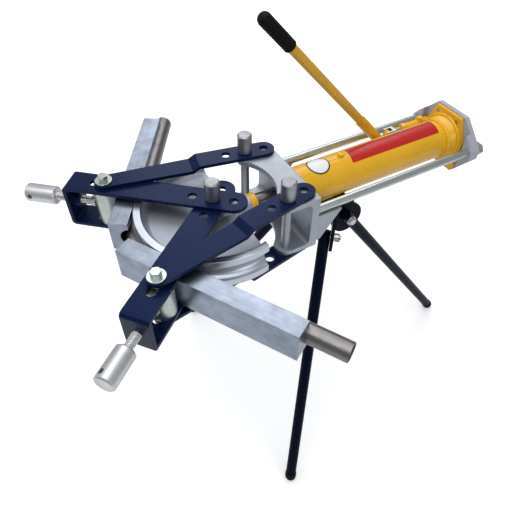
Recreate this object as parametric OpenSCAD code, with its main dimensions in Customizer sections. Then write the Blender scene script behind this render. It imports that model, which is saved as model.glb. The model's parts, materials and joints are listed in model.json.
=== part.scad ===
/* [Stance] */
// Height of the ram axis above the floor
axis_h = 748; // [700:1:800]
// Distance from a front leg's pivot to the tip of its foot, seen from above
front_leg_out = 343; // [300:1:380]
// Direction of the front legs, ahead of the cross axis
front_leg_turn = 39.6; // [35:0.2:44]
// Distance from the rear leg's pivot to the tip of its foot, seen from above
rear_leg_out = 466; // [420:1:500]
// Outer diameter of the leg tubes
leg_d = 28; // [25:0.5:29]
// Wall of the leg tubes
leg_wall = 2; // [1.5:0.1:3]
// Length of a leg tube above its pivot
leg_top = 14; // [13:1:22]
// Width of a foot plug's lip outside its tube
foot_lip = 1.5; // [1:0.1:2.5]
// Height of a foot plug's collar above its round end
foot_collar = 10; // [8:0.5:14]
// Depth of the flat that a foot stands on
foot_flat = 1.5; // [1:0.1:2]
// Diameter of the leg pivot bolts
leg_bolt_d = 10; // [8:0.5:12]

/* [Bending geometry] */
// Centre pin ahead of the line of the yoke pins
ram_reach = 127; // [120:0.5:135]
// Distance between the two yoke pins
pin_spread = 190; // [184:1:200]
// Angle through which the tube is bent
bend_angle = 62; // [56:0.5:66]
// Lead of each wing ahead of its bar's square
wing_lead = 9; // [8.5:0.25:11]
// Radius of the bend at the tube's centre line
bend_r = 170; // [160:0.5:180]
// Outer diameter of the tube in the machine
tube_d = 40; // [36:0.5:42]
// Thinning of that tube's wall in the bend, on each face
tube_draw = 0.15; // [0.1:0.01:0.25]
// Wall of that tube
tube_wall = 2; // [1.5:0.1:3]
// Straight length of the tube on the near side
near_tube_l = 395; // [340:1:420]
// Straight length of the tube on the far side
far_tube_l = 365; // [330:1:400]

/* [Pins and bolts] */
// Diameter of the centre pin and the yoke pins
pin_d = 20; // [18:0.1:21]
// Diameter of the pin knobs
knob_d = 33; // [30:0.5:36]
// Height of the pin knobs
knob_h = 46; // [40:1:50]
// Chamfer at the outer end of a knob
knob_chamfer = 3; // [2:0.5:4]
// Chamfer at the tip of a pin
pin_chamfer = 1.5; // [1:0.25:2]
// Length of the yoke pins below the lower links
yoke_pin_end = 20; // [12:1:24]
// Length of the centre pin below the lower straps
centre_pin_end = 14; // [10:1:18]
// Pitch of the pin holes in the links and straps
hole_pitch = 45; // [42:0.5:48]
// Diameter of the wing bolts
bolt_d = 12; // [11:0.5:13]
// Width across flats of the wing bolts' heads and nuts
bolt_flats = 19; // [18:0.5:21]
// Height of those heads and nuts
bolt_head = 12; // [10:0.5:13]
// Outer diameter of the washers
washer_d = 37; // [35:0.5:40]
// Thickness of the washers
washer_t = 3; // [2.5:0.1:3.5]

/* [Wings] */
// Width of the straps
strap_w = 60; // [56:1:64]
// Thickness of the straps
strap_t = 8; // [7:0.5:9]
// Wing bolt to the outer face of the strap's bend
strap_past = 87.4; // [82:0.1:100]
// Outside corner radius of the strap's bend
strap_bend = 10; // [9.5:0.5:14]
// Length of the slot for the wing bolt, between its end centres
slot_l = 32; // [26:1:36]
// Width of that slot
slot_w = 20; // [18:0.5:22]
// Outer diameter of the rollers
roller_d = 56; // [50:0.5:58]
// Width of the outer links
link_w = 50; // [46:1:54]
// Width of the outer links at the wing bolt
link_end_w = 42; // [40:0.5:46]
// Thickness of the outer links
link_t = 8; // [7:0.5:9]
// Start of the links' joggle, from the yoke pin
joggle_at = 111; // [105:1:125]
// Length of the links' joggle
joggle_l = 16; // [12:1:24]
// Extra room round the wing bolt in a link's eye
eye_room = 2.6; // [2.4:0.1:3]

/* [Back formers and former] */
// Depth of a bar, away from the tube
bar_depth = 41; // [38:0.5:44]
// Height of a bar
bar_h = 72; // [68:0.5:74]
// Length of a bar
bar_l = 402; // [380:1:410]
// Length of the near bar ahead of the tube's point of contact
near_bar_lead = 90; // [80:1:95]
// Length of the far bar ahead of the tube's point of contact
far_bar_lead = 70; // [65:1:85]
// Distance from the centre pin to the former's flat back
former_back = 44; // [40:1:46]
// Distance from the centre pin to the end of the former's rear boss
former_boss = 84; // [80:1:88]
// Thickness of the former's web
web_t = 24; // [20:1:28]
// Width of the former's rim at the top
rim_w = 15; // [13:0.5:18]
// Radius of the cove between the rim and the web
cove_r = 22; // [18:0.5:23]
// Diameter of the former's hub
hub_d = 50; // [46:1:54]

/* [Adjusters] */
// Diameter of the adjuster screws
screw_d = 20; // [18:0.5:22]
// Diameter of a screw's tip inside its thrust pad
tip_d = 10; // [8:0.5:12]
// Length of that tip
tip_l = 6; // [5:0.5:6.5]
// Diameter of the adjuster knobs
adjuster_d = 42; // [38:0.5:46]
// Length of the adjuster knobs
adjuster_l = 72; // [66:1:78]
// Strap's bend to the inner end of an adjuster knob
adjuster_out = 36; // [32:0.5:42]
// Diameter of the cross hole in an adjuster knob
tommy_d = 11; // [9:0.5:12]
// Cross hole to the outer end of the knob
tommy_in = 14; // [12:0.5:18]
// Turn of the near knob's cross hole from level
near_tommy_turn = 62; // [40:1:75]
// Turn of the far knob's cross hole from level
far_tommy_turn = 10; // [0:1:30]
// Diameter of the thrust pads
pad_d = 26; // [24:0.5:30]
// Thickness of the thrust pads
pad_t = 10; // [8:0.5:12]
// Diameter of the threaded boss inside the strap's bend
boss_d = 38; // [34:0.5:42]
// Length of that boss
boss_l = 16; // [12:0.5:18]

/* [Yoke] */
// Height of the yoke's top above the ram axis
yoke_top = 62.5; // [60:0.5:64]
// Depth of the yoke's underside below the ram axis
yoke_low = 76; // [72:0.5:80]
// Thickness of the yoke's top and bottom plates
yoke_plate = 12; // [10:0.5:13]
// Distance from the pin line to the yoke's back face
yoke_back = 68.5; // [66:0.5:74]
// Thickness of the yoke's back wall
yoke_wall = 18.5; // [17:0.5:20]
// Metal round a yoke pin
yoke_ear = 22; // [20:0.5:26]
// Radius of the yoke's hollow front edge
yoke_hollow_r = 110; // [105:1:115]
// Deepest point of that hollow, behind the pin line
yoke_hollow = 13; // [10:0.5:16]
// Radius of the fillets inside the yoke
yoke_fillet = 12; // [8:0.5:16]
// Thickness of the gussets behind the back wall
gusset_t = 8; // [6:0.5:10]
// Length of the gussets
gusset_l = 72; // [60:1:78]

/* [Ram and cylinder] */
// Diameter of the ram
ram_d = 40; // [38:0.5:42]
// Diameter of the ram's nose in the former
nose_d = 30; // [26:0.5:32]
// Depth of the nose in the former
nose_l = 36; // [30:1:40]
// Outer diameter of the ram collar
collar_d = 50; // [47:0.5:54]
// Width of the ram collar
collar_w = 16; // [12:0.5:18]
// Outer diameter of the cylinder
barrel_d = 98; // [94:0.5:100]
// Bore of the cylinder
bore_d = 70; // [66:0.5:72]
// Length of the cylinder
barrel_l = 463.5; // [450:0.5:470]
// Length of the gland bush
gland_l = 34; // [28:1:40]
// Length of the piston
piston_l = 26; // [22:1:30]
// Piston's back face to the cylinder's back end
piston_back = 86; // [75:1:110]
// Section of the piston seal
seal_w = 6; // [5:0.5:7]
// Distance between the tie rods
rod_spread = 184; // [182:0.5:186]
// Rise of the tie rods above the ram axis
rod_rise = 6; // [4:0.5:8]
// Diameter of the tie rods
rod_d = 20; // [18:0.5:22]
// Depth of the tie rods in the yoke
rod_in = 15; // [12:0.5:16]
// Width across flats of the tie rod nuts
rod_nut_flats = 30; // [28:0.5:32]
// Height of the tie rod nuts
rod_nut_h = 14; // [12:0.5:16]
// Length of a tie rod behind its nut
rod_tail = 6; // [4:0.5:10]

/* [Rear head] */
// Thickness of the rear flange
flange_t = 9; // [8:0.5:12]
// Half width of the rear flange, where it is widest
flange_x = 67; // [65:0.5:69]
// Half height of the rear flange
flange_z = 72; // [70:0.5:75]
// Half width of the rear flange at its top
flange_top = 41; // [38:0.5:46]
// Half width of the rear flange at its foot
flange_low = 59; // [54:0.5:62]
// Height of the flange's widest place above the ram axis
flange_wide = 10; // [5:0.5:15]
// Thickness of the rear casting's plate
casting_t = 13; // [11:0.5:15]
// Half width of the rear casting
casting_x = 107; // [106:0.5:112]
// Height of the rear casting above the ram axis
casting_up = 75; // [73:0.5:78]
// Depth of the rear casting below the ram axis
casting_down = 80; // [76:0.5:82]
// Half width of the rear casting at its top
casting_top = 47; // [44:0.5:52]
// Half width of the rear casting at its foot
casting_low = 52; // [48:0.5:58]
// Length of the rear casting's arms ahead of its plate
arm_l = 14; // [10:0.5:20]
// Half width of the space between the arms
arm_in = 76; // [75:0.5:79]
// Half height of an arm's outer end
arm_z = 12; // [10:0.5:14]
// Cross spacing of the flange bolts
flange_bolt_x = 64; // [60:0.5:68]
// Upright spacing of the flange bolts
flange_bolt_z = 116; // [110:0.5:120]

/* [Pump] */
// Pump axis to the far side of the ram axis
pump_x = 62; // [61.5:0.5:63]
// Rise of the pump axis above the ram axis
pump_z = 12; // [10:0.5:14]
// Outer diameter of the pump barrel
pump_d = 24; // [22:0.5:25]
// Length of the pump barrel
pump_l = 75; // [70:1:80]
// Diameter of the pump plunger
plunger_d = 14; // [12:0.5:15]
// Lever pivot ahead of the cylinder's back end
pivot_ahead = 122.5; // [120:0.5:126]
// Lever pivot to the drive pin
crank_r = 36; // [34:0.5:38]
// Swing of the pump lever
lever_swing = 30; // [24:1:34]
// Lean of the handle from upright, at rest
handle_lean = 43.2; // [40:0.2:46]
// Handle's axis ahead of the lever pivot
handle_off = 9; // [7:0.5:10]
// Diameter of the handle tube
handle_d = 22; // [20:0.5:24]
// Lever pivot to the tip of the grip, along the handle
handle_l = 562; // [500:1:600]
// Length of the grip
grip_l = 100; // [90:1:120]
// Diameter of the grip
grip_d = 29; // [27:0.5:32]

/* [Hidden] */
$fn = 64;

// Room between faces that slide past each other
slide_gap = 0.4;
// Radial room of a pin in its bore
pin_gap = 0.08;
// Room between curved faces of separate moving pieces
round_gap = 0.3;
// Overshoot of a cut past the face that it opens
cut = 1;

// Levels above and below the ram axis
bar_half = bar_h / 2;
near_in = bar_half + slide_gap;
near_out = near_in + strap_t;
far_in = near_out + slide_gap;
far_out = far_in + strap_t;
link_b = far_out + slide_gap;
bolt_face = link_b + link_t + slide_gap + washer_t;
top_a = yoke_top + slide_gap;
low_a = yoke_low + slide_gap;

// Plan geometry of one wing, near side
half_bend = bend_angle / 2;
wing_turn = half_bend + wing_lead;
bar_in = bend_r + round_gap;
bar_out = bar_in + bar_depth;
wing_r = (bar_out + round_gap + roller_d / 2) / cos(wing_lead);
pin_x = pin_spread / 2;
bolt_x = wing_r * sin(wing_turn);
bolt_y = -ram_reach - wing_r * cos(wing_turn);
link_l = norm([bolt_x - pin_x, bolt_y]);
link_turn = atan2(bolt_y, bolt_x - pin_x);
pad_at = wing_r + roller_d / 2 + round_gap;
strap_l = wing_r + strap_past;
adjuster_at = strap_l + adjuster_out;

// Stations along the ram axis
barrel_end = yoke_back + barrel_l;
casting_y = barrel_end + flange_t;
rod_end = casting_y + casting_t;
yoke_x = pin_x + yoke_ear;
pivot_y = barrel_end - pivot_ahead;
pivot_z = pump_z - crank_r * cos(lever_swing / 2);
crank_y = pivot_y - crank_r * sin(lever_swing / 2);
pump_front = barrel_end - pump_l;
valve_y = barrel_end - 28;
filler_y = 203;

// Pump details
gland_nut_l = 12;
valve_d = 8;
filler_d = 10;
lever_half = 6;
lever_web = 5;
lever_pin_d = 10;
cheek_t = 5;
cheek_r = 13;
drive_pin_d = 8;
fork_half = lever_half + slide_gap;
fork_t = 4;
fork_h = 22;
fork_front = 8;
fork_back = 12;
fork_wall = 8;
fork_slot = 2;
socket_wall = 2;
socket_from = 44;
socket_l = 104;
socket_end = 8;
grip_end = 6;

// Leg bracket
bracket_x = 42;
bracket_top = barrel_d / 2 + round_gap;
bracket_r = 43.5;
bracket_low = 106;
lug_t = 8;
bracket_bolt_x = 14;
bracket_bolt_z = -bracket_top - 14;
bracket_bolt_in = 12;
leg_gap = 0.5;
leg_washer_d = 24;
leg_washer_t = 2;
leg_bolt_flats = 17;
leg_bolt_head = 6.5;
leg_nut_d = 20;
leg_nut_h = 12;
leg_nut_wing = 22;
leg_nut_reach = 28;
saddle_y = 180;
saddle_w = 112;
saddle_l = 34;
saddle_t = 7;
floor_half = 1000;
leg_side = leg_d / 2 + leg_gap;
front_pivot = [76.7, 125.1, -110];
rear_pivot = [bracket_x + leg_side, 206.9, -99.2];
foot_r = leg_d / 2 + foot_lip;
foot_h = foot_r - foot_flat;
front_splay = atan2(front_leg_out, axis_h + front_pivot[2] - foot_h);
rear_splay = atan2(rear_leg_out, axis_h + rear_pivot[2] - foot_h);
front_leg_l = norm([front_leg_out, axis_h + front_pivot[2] - foot_h]);
rear_leg_l = norm([rear_leg_out, axis_h + rear_pivot[2] - foot_h]);

// Frame at the ram axis
module axis_frame() {
    translate([0, 0, axis_h]) children();
}

// Frame at the centre pin, on the ram axis
module centre_frame() {
    translate([0, -ram_reach, axis_h]) children();
}

// The near piece, or its mirror image on the far side
module on_side(side) {
    if (side > 0) children();
    else mirror([1, 0, 0]) children();
}

// Frame of one wing: x runs out from the centre pin to the wing bolt
module wing_frame(side) {
    on_side(side) centre_frame() rotate([0, 0, wing_turn - 90]) children();
}

// Frame of one outer link: x runs from the yoke pin to the wing bolt
module link_frame(side) {
    on_side(side) axis_frame() translate([pin_x, 0, 0]) rotate([0, 0, link_turn]) children();
}

// Frame of one bar: x runs along the tube, y runs out from the former
module bar_frame(side) {
    on_side(side) centre_frame() rotate([0, 0, half_bend]) mirror([0, 1, 0]) children();
}

// Frame of one leg: z runs up the tube, with its pivot along y at the origin
module leg_frame(side, pivot, turn, splay) {
    on_side(side) axis_frame() translate(pivot) rotate([0, 0, turn]) rotate([0, -splay, 0]) children();
}

module near_leg_frame() {
    leg_frame(1, front_pivot, -front_leg_turn, front_splay) children();
}

module far_leg_frame() {
    leg_frame(-1, front_pivot, -front_leg_turn, front_splay) children();
}

module rear_leg_frame() {
    leg_frame(1, rear_pivot, 90, rear_splay) children();
}

// Upright cylinder between two levels
module post(d, low, high) {
    translate([0, 0, low]) cylinder(d = d, h = high - low);
}

// Cylinder along y between two stations
module rod_y(d, from, to) {
    translate([0, from, 0]) rotate([-90, 0, 0]) cylinder(d = d, h = to - from);
}

// Cylinder along x between two stations
module rod_x(d, from, to) {
    translate([from, 0, 0]) rotate([0, 90, 0]) cylinder(d = d, h = to - from);
}

// Hexagon between two levels, by its width across flats
module hexagon(flats, low, high) {
    translate([0, 0, low]) cylinder(d = flats / cos(30), h = high - low, $fn = 6);
}

// Flat bar seen from above, with a round end at each hole centre
module bar_plan(from, to, width) {
    translate([from, -width / 2]) square([to - from, width]);
    translate([from, 0]) circle(d = width);
    translate([to, 0]) circle(d = width);
}

// Side view of a strap: two plates joined by a bend with round corners
module bend_outline(back, front, half, r) {
    translate([back, -half]) square([front - r - back, 2 * half]);
    translate([back, r - half]) square([front - back, 2 * (half - r)]);
    for (s = [-1, 1]) translate([front - r, s * (half - r)]) circle(r = r);
}

module strap(side, inner, outer) {
    tail = hole_pitch + strap_w;
    color("midnightblue") wing_frame(side) difference() {
        union() {
            intersection() {
                rotate([90, 0, 0]) linear_extrude(height = strap_w, center = true) difference() {
                    bend_outline(-tail, strap_l, outer, strap_bend);
                    bend_outline(-tail - cut, strap_l - strap_t, inner, strap_bend - strap_t);
                }
                translate([0, 0, -outer]) linear_extrude(height = 2 * outer)
                    bar_plan(-hole_pitch, strap_l, strap_w);
            }
            rod_x(boss_d, strap_l - strap_t - boss_l, strap_l - strap_t);
        }
        for (i = [-1, 0, 1]) translate([i * hole_pitch, 0, 0])
            post(pin_d + 2 * pin_gap, -outer - cut, outer + cut);
        translate([wing_r - slot_l / 4, 0, -outer - cut]) linear_extrude(height = 2 * (outer + cut))
            bar_plan(0, slot_l, slot_w);
        rod_x(screw_d + 2 * pin_gap, strap_l - strap_t - boss_l - cut, strap_l + cut);
    }
}

module near_strap() {
    strap(1, near_in, near_out);
}

module far_strap() {
    strap(-1, far_in, far_out);
}

module roller(side, inner) {
    half = inner - slide_gap;
    color("lightslategray") wing_frame(side) translate([wing_r, 0, 0]) difference() {
        post(roller_d, -half, half);
        post(bolt_d + 2 * pin_gap, -half - cut, half + cut);
    }
}

module near_roller() {
    roller(1, near_in);
}

module far_roller() {
    roller(-1, far_in);
}

module wing_bolt(side) {
    color("silver") wing_frame(side) translate([wing_r, 0, 0]) {
        post(bolt_d, -bolt_face - bolt_head - 3, bolt_face);
        hexagon(bolt_flats, bolt_face, bolt_face + bolt_head);
    }
}

module near_wing_bolt() {
    wing_bolt(1);
}

module far_wing_bolt() {
    wing_bolt(-1);
}

module wing_nut(side) {
    color("silver") wing_frame(side) translate([wing_r, 0, 0]) difference() {
        hexagon(bolt_flats, -bolt_face - bolt_head, -bolt_face);
        post(bolt_d, -bolt_face - bolt_head - cut, -bolt_face + cut);
    }
}

module near_wing_nut() {
    wing_nut(1);
}

module far_wing_nut() {
    wing_nut(-1);
}

module washers(side) {
    color("gainsboro") wing_frame(side) translate([wing_r, 0, 0]) for (s = [0, 1]) mirror([0, 0, s])
        difference() {
            post(washer_d, bolt_face - washer_t, bolt_face);
            post(bolt_d, bolt_face - washer_t - cut, bolt_face + cut);
        }
}

module near_washers() {
    washers(1);
}

module far_washers() {
    washers(-1);
}

// Stepped rings that carry the near links above and below the lower strap
module near_spacers() {
    top = link_b - slide_gap;
    color("gainsboro") wing_frame(1) translate([wing_r, 0, 0]) for (s = [0, 1]) mirror([0, 0, s])
        difference() {
            union() {
                post(washer_d, top - washer_t, top);
                post(washer_d - 9, near_out, top);
            }
            post(bolt_d, near_out - cut, top + cut);
        }
}

// Plan of a link, slimmer toward the wing bolt
module link_plan() {
    translate([-hole_pitch, 0]) circle(d = link_w);
    polygon([
        [-hole_pitch, -link_w / 2], [joggle_at, -link_w / 2], [link_l, -link_end_w / 2],
        [link_l, link_end_w / 2], [joggle_at, link_w / 2], [-hole_pitch, link_w / 2]
    ]);
    translate([link_l, 0]) circle(d = link_end_w);
}

// Flat link with a joggle: far end at the wing bolt, near end at the yoke
module link(side, level_a, flip) {
    tail = hole_pitch + link_w;
    reach = link_l + link_w;
    rise = level_a - link_b;
    color("midnightblue") link_frame(side) mirror([0, 0, flip]) difference() {
        intersection() {
            rotate([90, 0, 0]) linear_extrude(height = link_w, center = true) polygon([
                [-tail, link_b + rise], [joggle_at, link_b + rise], [joggle_at + joggle_l, link_b],
                [reach, link_b], [reach, link_b + link_t],
                [joggle_at + joggle_l, link_b + link_t], [joggle_at, link_b + link_t + rise],
                [-tail, link_b + link_t + rise]
            ]);
            linear_extrude(height = link_b + link_t + rise + cut)
                link_plan();
        }
        for (i = [-1, 0, 1]) translate([i * hole_pitch, 0, 0])
            post(pin_d + 2 * pin_gap, link_b - cut, link_b + link_t + rise + cut);
        translate([link_l, 0, 0]) post(bolt_d + 2 * eye_room, link_b - cut, link_b + link_t + cut);
    }
}

module near_top_link() {
    link(1, top_a, 0);
}

module near_bottom_link() {
    link(1, low_a, 1);
}

module far_top_link() {
    link(-1, top_a, 0);
}

module far_bottom_link() {
    link(-1, low_a, 1);
}

module bar(side, lead) {
    color("whitesmoke") bar_frame(side) difference() {
        translate([-lead, bar_in, -bar_half]) cube([bar_l, bar_depth, bar_h]);
        translate([0, bend_r, 0]) rod_x(tube_d + 2 * round_gap, -lead - cut, bar_l - lead + cut);
    }
}

module near_bar() {
    bar(1, near_bar_lead);
}

module far_bar() {
    bar(-1, far_bar_lead);
}

// Straight leg of the bent tube, from just inside the bend outward
module tube_leg(side, d, to) {
    bar_frame(side) translate([0, bend_r, 0]) rod_x(d, -cut, to);
}

// Bend of the tube on the former
module tube_bend(d) {
    centre_frame() rotate([0, 0, -90 - half_bend])
        rotate_extrude(angle = bend_angle) translate([bend_r, 0]) circle(d = d);
}

module bent_tube() {
    bore = tube_d - 2 * tube_wall;
    color("slategray") difference() {
        union() {
            tube_leg(1, tube_d, near_tube_l);
            tube_leg(-1, tube_d, far_tube_l);
            tube_bend(tube_d - 2 * tube_draw);
        }
        tube_leg(1, bore, near_tube_l + cut);
        tube_leg(-1, bore, far_tube_l + cut);
        tube_bend(bore + 2 * tube_draw);
    }
}

// Half section of the former: web, rim and the cove between them
module former_section(rim_r, half) {
    rim_in = rim_r - rim_w;
    difference() {
        union() {
            translate([0, -web_t / 2]) square([rim_in + cut, web_t]);
            translate([rim_in, -half]) square([rim_w, 2 * half]);
            for (s = [0, 1]) mirror([0, s]) translate([rim_in - cove_r + cut, web_t / 2 - cut]) difference() {
                square([cove_r, cove_r]);
                translate([0, cove_r]) circle(r = cove_r);
            }
        }
        translate([bend_r, 0]) circle(d = tube_d + 2 * round_gap);
    }
}

module former() {
    half = bar_half - round_gap;
    color("lightgray") centre_frame() difference() {
        union() {
            intersection() {
                rotate_extrude($fn = 96) former_section(bend_r - round_gap, half);
                translate([-bend_r, -bend_r, -bar_h]) cube([2 * bend_r, bend_r + former_back, 2 * bar_h]);
            }
            post(hub_d, -half, half);
            rod_y(hub_d, 0, former_boss);
        }
        post(pin_d + 2 * pin_gap, -half - cut, half + cut);
        rod_y(nose_d, former_boss - nose_l, former_boss + cut);
    }
}

// Pin below a knob, turned in one piece, with chamfered ends
module turned_pin(low, face) {
    r = pin_d / 2;
    k = knob_d / 2;
    top = face + knob_h;
    rotate_extrude() polygon([
        [0, low], [r - pin_chamfer, low], [r, low + pin_chamfer], [r, face],
        [k - pin_chamfer, face], [k, face + pin_chamfer],
        [k, top - knob_chamfer], [k - knob_chamfer, top], [0, top]
    ]);
}

module centre_pin() {
    face = far_out + slide_gap;
    color("slategray") centre_frame() turned_pin(-far_out - centre_pin_end, face);
}

module yoke_pin(side) {
    face = top_a + link_t + slide_gap;
    color("slategray") on_side(side) axis_frame() translate([pin_x, 0, 0])
        turned_pin(-low_a - link_t - yoke_pin_end, face);
}

module near_yoke_pin() {
    yoke_pin(1);
}

module far_yoke_pin() {
    yoke_pin(-1);
}

module pad(side) {
    color("dimgray") wing_frame(side) translate([pad_at, 0, 0]) difference() {
        rod_x(pad_d, 0, pad_t);
        rod_x(tip_d + 2 * pin_gap, pad_t - tip_l - slide_gap, pad_t + cut);
    }
}

module near_pad() {
    pad(1);
}

module far_pad() {
    pad(-1);
}

module screw(side) {
    face = pad_at + pad_t + slide_gap;
    color("silver") wing_frame(side) {
        rod_x(tip_d, face - slide_gap - tip_l, face + cut);
        rod_x(screw_d, face, adjuster_at);
    }
}

module near_screw() {
    screw(1);
}

module far_screw() {
    screw(-1);
}

// Turned cylinder along x with chamfered ends
module turned_x(d, from, to, chamfer) {
    l = to - from;
    translate([from, 0, 0]) rotate([0, 90, 0]) rotate_extrude() polygon([
        [0, 0], [d / 2 - chamfer, 0], [d / 2, chamfer], [d / 2, l - chamfer], [d / 2 - chamfer, l], [0, l]
    ]);
}

module knob(side, turn) {
    color("dimgray") wing_frame(side) difference() {
        turned_x(adjuster_d, adjuster_at, adjuster_at + adjuster_l, knob_chamfer);
        translate([adjuster_at + adjuster_l - tommy_in, 0, 0]) rotate([-turn, 0, 0])
            rod_y(tommy_d, -adjuster_d, adjuster_d);
    }
}

module near_knob() {
    knob(1, near_tommy_turn);
}

module far_knob() {
    knob(-1, far_tommy_turn);
}

// Plan of the yoke's top and bottom plates
module yoke_plan() {
    difference() {
        union() {
            for (s = [-1, 1]) translate([s * pin_x, 0]) circle(r = yoke_ear);
            translate([-yoke_x, 0]) square([2 * yoke_x, yoke_back]);
            translate([-pin_x, -yoke_ear]) square([2 * pin_x, yoke_ear]);
        }
        translate([0, yoke_hollow - yoke_hollow_r]) circle(r = yoke_hollow_r, $fn = 96);
    }
}

// Channel section of the yoke, open to the front
module yoke_section() {
    inner = yoke_back - yoke_wall;
    high = yoke_top - yoke_plate;
    low = yoke_low - yoke_plate;
    rotate([90, 0, 90]) linear_extrude(height = 2 * yoke_x, center = true) difference() {
        translate([-yoke_ear, -yoke_low]) square([yoke_ear + yoke_back, yoke_low + yoke_top]);
        translate([0, (high - low) / 2])
            bend_outline(-yoke_ear - cut, inner, (high + low) / 2, yoke_fillet);
    }
}

module gusset() {
    x = rod_spread / 2 + rod_d / 4;
    translate([x, 0, 0]) rotate([90, 0, 90]) linear_extrude(height = gusset_t) polygon([
        [yoke_back - cut, rod_rise - rod_d / 2 - cut], [yoke_back + gusset_l, rod_rise - rod_d / 2 - cut],
        [yoke_back + 20, -yoke_low], [yoke_back - cut, -yoke_low]
    ]);
}

module yoke() {
    color("lightsteelblue") axis_frame() difference() {
        union() {
            intersection() {
                yoke_section();
                translate([0, 0, -yoke_low]) linear_extrude(height = yoke_low + yoke_top) yoke_plan();
            }
            for (s = [0, 1]) mirror([s, 0, 0]) gusset();
        }
        for (s = [-1, 1]) translate([s * pin_x, 0, 0])
            post(pin_d + 2 * pin_gap, -yoke_low - cut, yoke_top + cut);
        for (s = [-1, 1]) translate([s * rod_spread / 2, 0, rod_rise])
            rod_y(rod_d, yoke_back - rod_in, yoke_back + cut);
        rod_y(ram_d + 2, yoke_back - yoke_wall - cut, yoke_back + cut);
        bracket_bolt_holes();
    }
}

module bracket_bolt_holes() {
    for (s = [-1, 1]) translate([s * bracket_bolt_x, 0, bracket_bolt_z])
        rod_y(leg_bolt_d, yoke_back - bracket_bolt_in, yoke_back + lug_t + cut);
}

module bracket_bolts() {
    color("silver") axis_frame() for (s = [-1, 1]) translate([s * bracket_bolt_x, 0, bracket_bolt_z]) {
        rod_y(leg_bolt_d, yoke_back - bracket_bolt_in, yoke_back + lug_t);
        translate([0, yoke_back + lug_t, 0]) rotate([-90, 0, 0]) hexagon(17, 0, 6);
    }
}

module cylinder_barrel() {
    color("goldenrod") axis_frame() difference() {
        union() {
            rod_y(barrel_d, yoke_back, barrel_end);
            rod_y(barrel_d + 6, barrel_end - 32, barrel_end - 26);
            translate([0, barrel_end - 22, 0]) rotate([-90, 0, 0])
                cylinder(d1 = barrel_d, d2 = barrel_d + 18, h = 22);
            for (x = [lever_half + slide_gap, -lever_half - slide_gap - cheek_t])
                translate([x - pump_x, pivot_y, pivot_z]) {
                    rod_x(2 * cheek_r, 0, cheek_t);
                    translate([0, -cheek_r, -cheek_r - 14]) cube([cheek_t, 2 * cheek_r, cheek_r + 14]);
                }
            translate([-pump_x - lever_half - slide_gap - cheek_t, pivot_y - cheek_r, pivot_z - cheek_r - 18])
                cube([pump_x, 2 * cheek_r, 16]);
        }
        rod_y(bore_d, yoke_back - cut, barrel_end + cut);
        translate([-pump_x, pivot_y, pivot_z])
            rod_x(lever_pin_d, -pump_x, lever_half + slide_gap + cheek_t + cut);
        translate([-pump_x, 0, pump_z]) rod_y(pump_d + 2 * round_gap, barrel_end - 40, barrel_end + cut);
        translate([0, filler_y, 0]) post(filler_d, 0, barrel_d);
    }
}

module lever_pin() {
    reach = lever_half + slide_gap + cheek_t;
    color("dimgray") axis_frame() translate([-pump_x, pivot_y, pivot_z])
        rod_x(lever_pin_d, -reach - 3, reach);
}

module filler_plug() {
    color("goldenrod") axis_frame() translate([0, filler_y, 0]) {
        post(filler_d, bore_d / 2 + 3, barrel_d / 2);
        hexagon(14, barrel_d / 2, barrel_d / 2 + 6);
    }
}

module gland_bush() {
    color("peru") axis_frame() difference() {
        rod_y(bore_d, yoke_back, yoke_back + gland_l);
        rod_y(ram_d + 2 * pin_gap, yoke_back - cut, yoke_back + gland_l + cut);
    }
}

// Places of the flange bolts, as a frame at the flange's front face
module flange_bolt_frames() {
    for (x = [-1, 1], z = [-1, 1])
        translate([x * flange_bolt_x / 2, barrel_end, z * flange_bolt_z / 2]) children();
}

// Plate that is widest just above its middle
module flange_plate() {
    translate([0, casting_y, 0]) rotate([90, 0, 0]) linear_extrude(height = flange_t) polygon([
        [-flange_low, -flange_z], [flange_low, -flange_z], [flange_x, flange_wide], [flange_top, flange_z],
        [-flange_top, flange_z], [-flange_x, flange_wide]
    ]);
}

module rear_flange() {
    color("goldenrod") axis_frame() difference() {
        union() {
            flange_plate();
            rod_y(bore_d, barrel_end - 12, barrel_end);
        }
        flange_bolt_frames() rod_y(12, -cut, flange_t + cut);
    }
}

module flange_bolts() {
    color("dimgray") axis_frame() flange_bolt_frames() rod_y(12, 3, flange_t + casting_t - 2);
}

// Outline of the rear casting, from the tips of its arms to its back
module casting_block() {
    x = casting_x - 13;
    z = arm_z + 16;
    translate([0, rod_end, 0]) rotate([90, 0, 0]) linear_extrude(height = casting_t + arm_l) polygon([
        [-casting_low, -casting_down], [casting_low, -casting_down], [casting_x, -arm_z], [casting_x, arm_z],
        [x, z], [casting_top, casting_up], [-casting_top, casting_up], [-x, z], [-casting_x, arm_z],
        [-casting_x, -arm_z]
    ]);
}

module rear_casting() {
    color("darkgray") axis_frame() difference() {
        casting_block();
        translate([-arm_in, casting_y - arm_l - cut, -casting_down - cut])
            cube([2 * arm_in, arm_l + cut, casting_down + casting_up + 2 * cut]);
        for (s = [-1, 1]) translate([s * rod_spread / 2, 0, rod_rise])
            rod_y(rod_d, casting_y - arm_l - cut, rod_end + cut);
        flange_bolt_frames() rod_y(12, flange_t - cut, flange_t + casting_t - 2);
    }
}

module tie_rods() {
    color("silver") axis_frame() for (s = [-1, 1]) translate([s * rod_spread / 2, 0, rod_rise])
        rod_y(rod_d, yoke_back - rod_in, rod_end + rod_nut_h + rod_tail);
}

module tie_rod_nuts() {
    color("silver") axis_frame() for (s = [-1, 1]) translate([s * rod_spread / 2, rod_end, rod_rise])
        difference() {
            rotate([-90, 0, 0]) hexagon(rod_nut_flats, 0, rod_nut_h);
            rod_y(rod_d, -cut, rod_nut_h + cut);
        }
}

// Frame on the pump axis
module pump_frame() {
    axis_frame() translate([-pump_x, 0, pump_z]) children();
}

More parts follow.
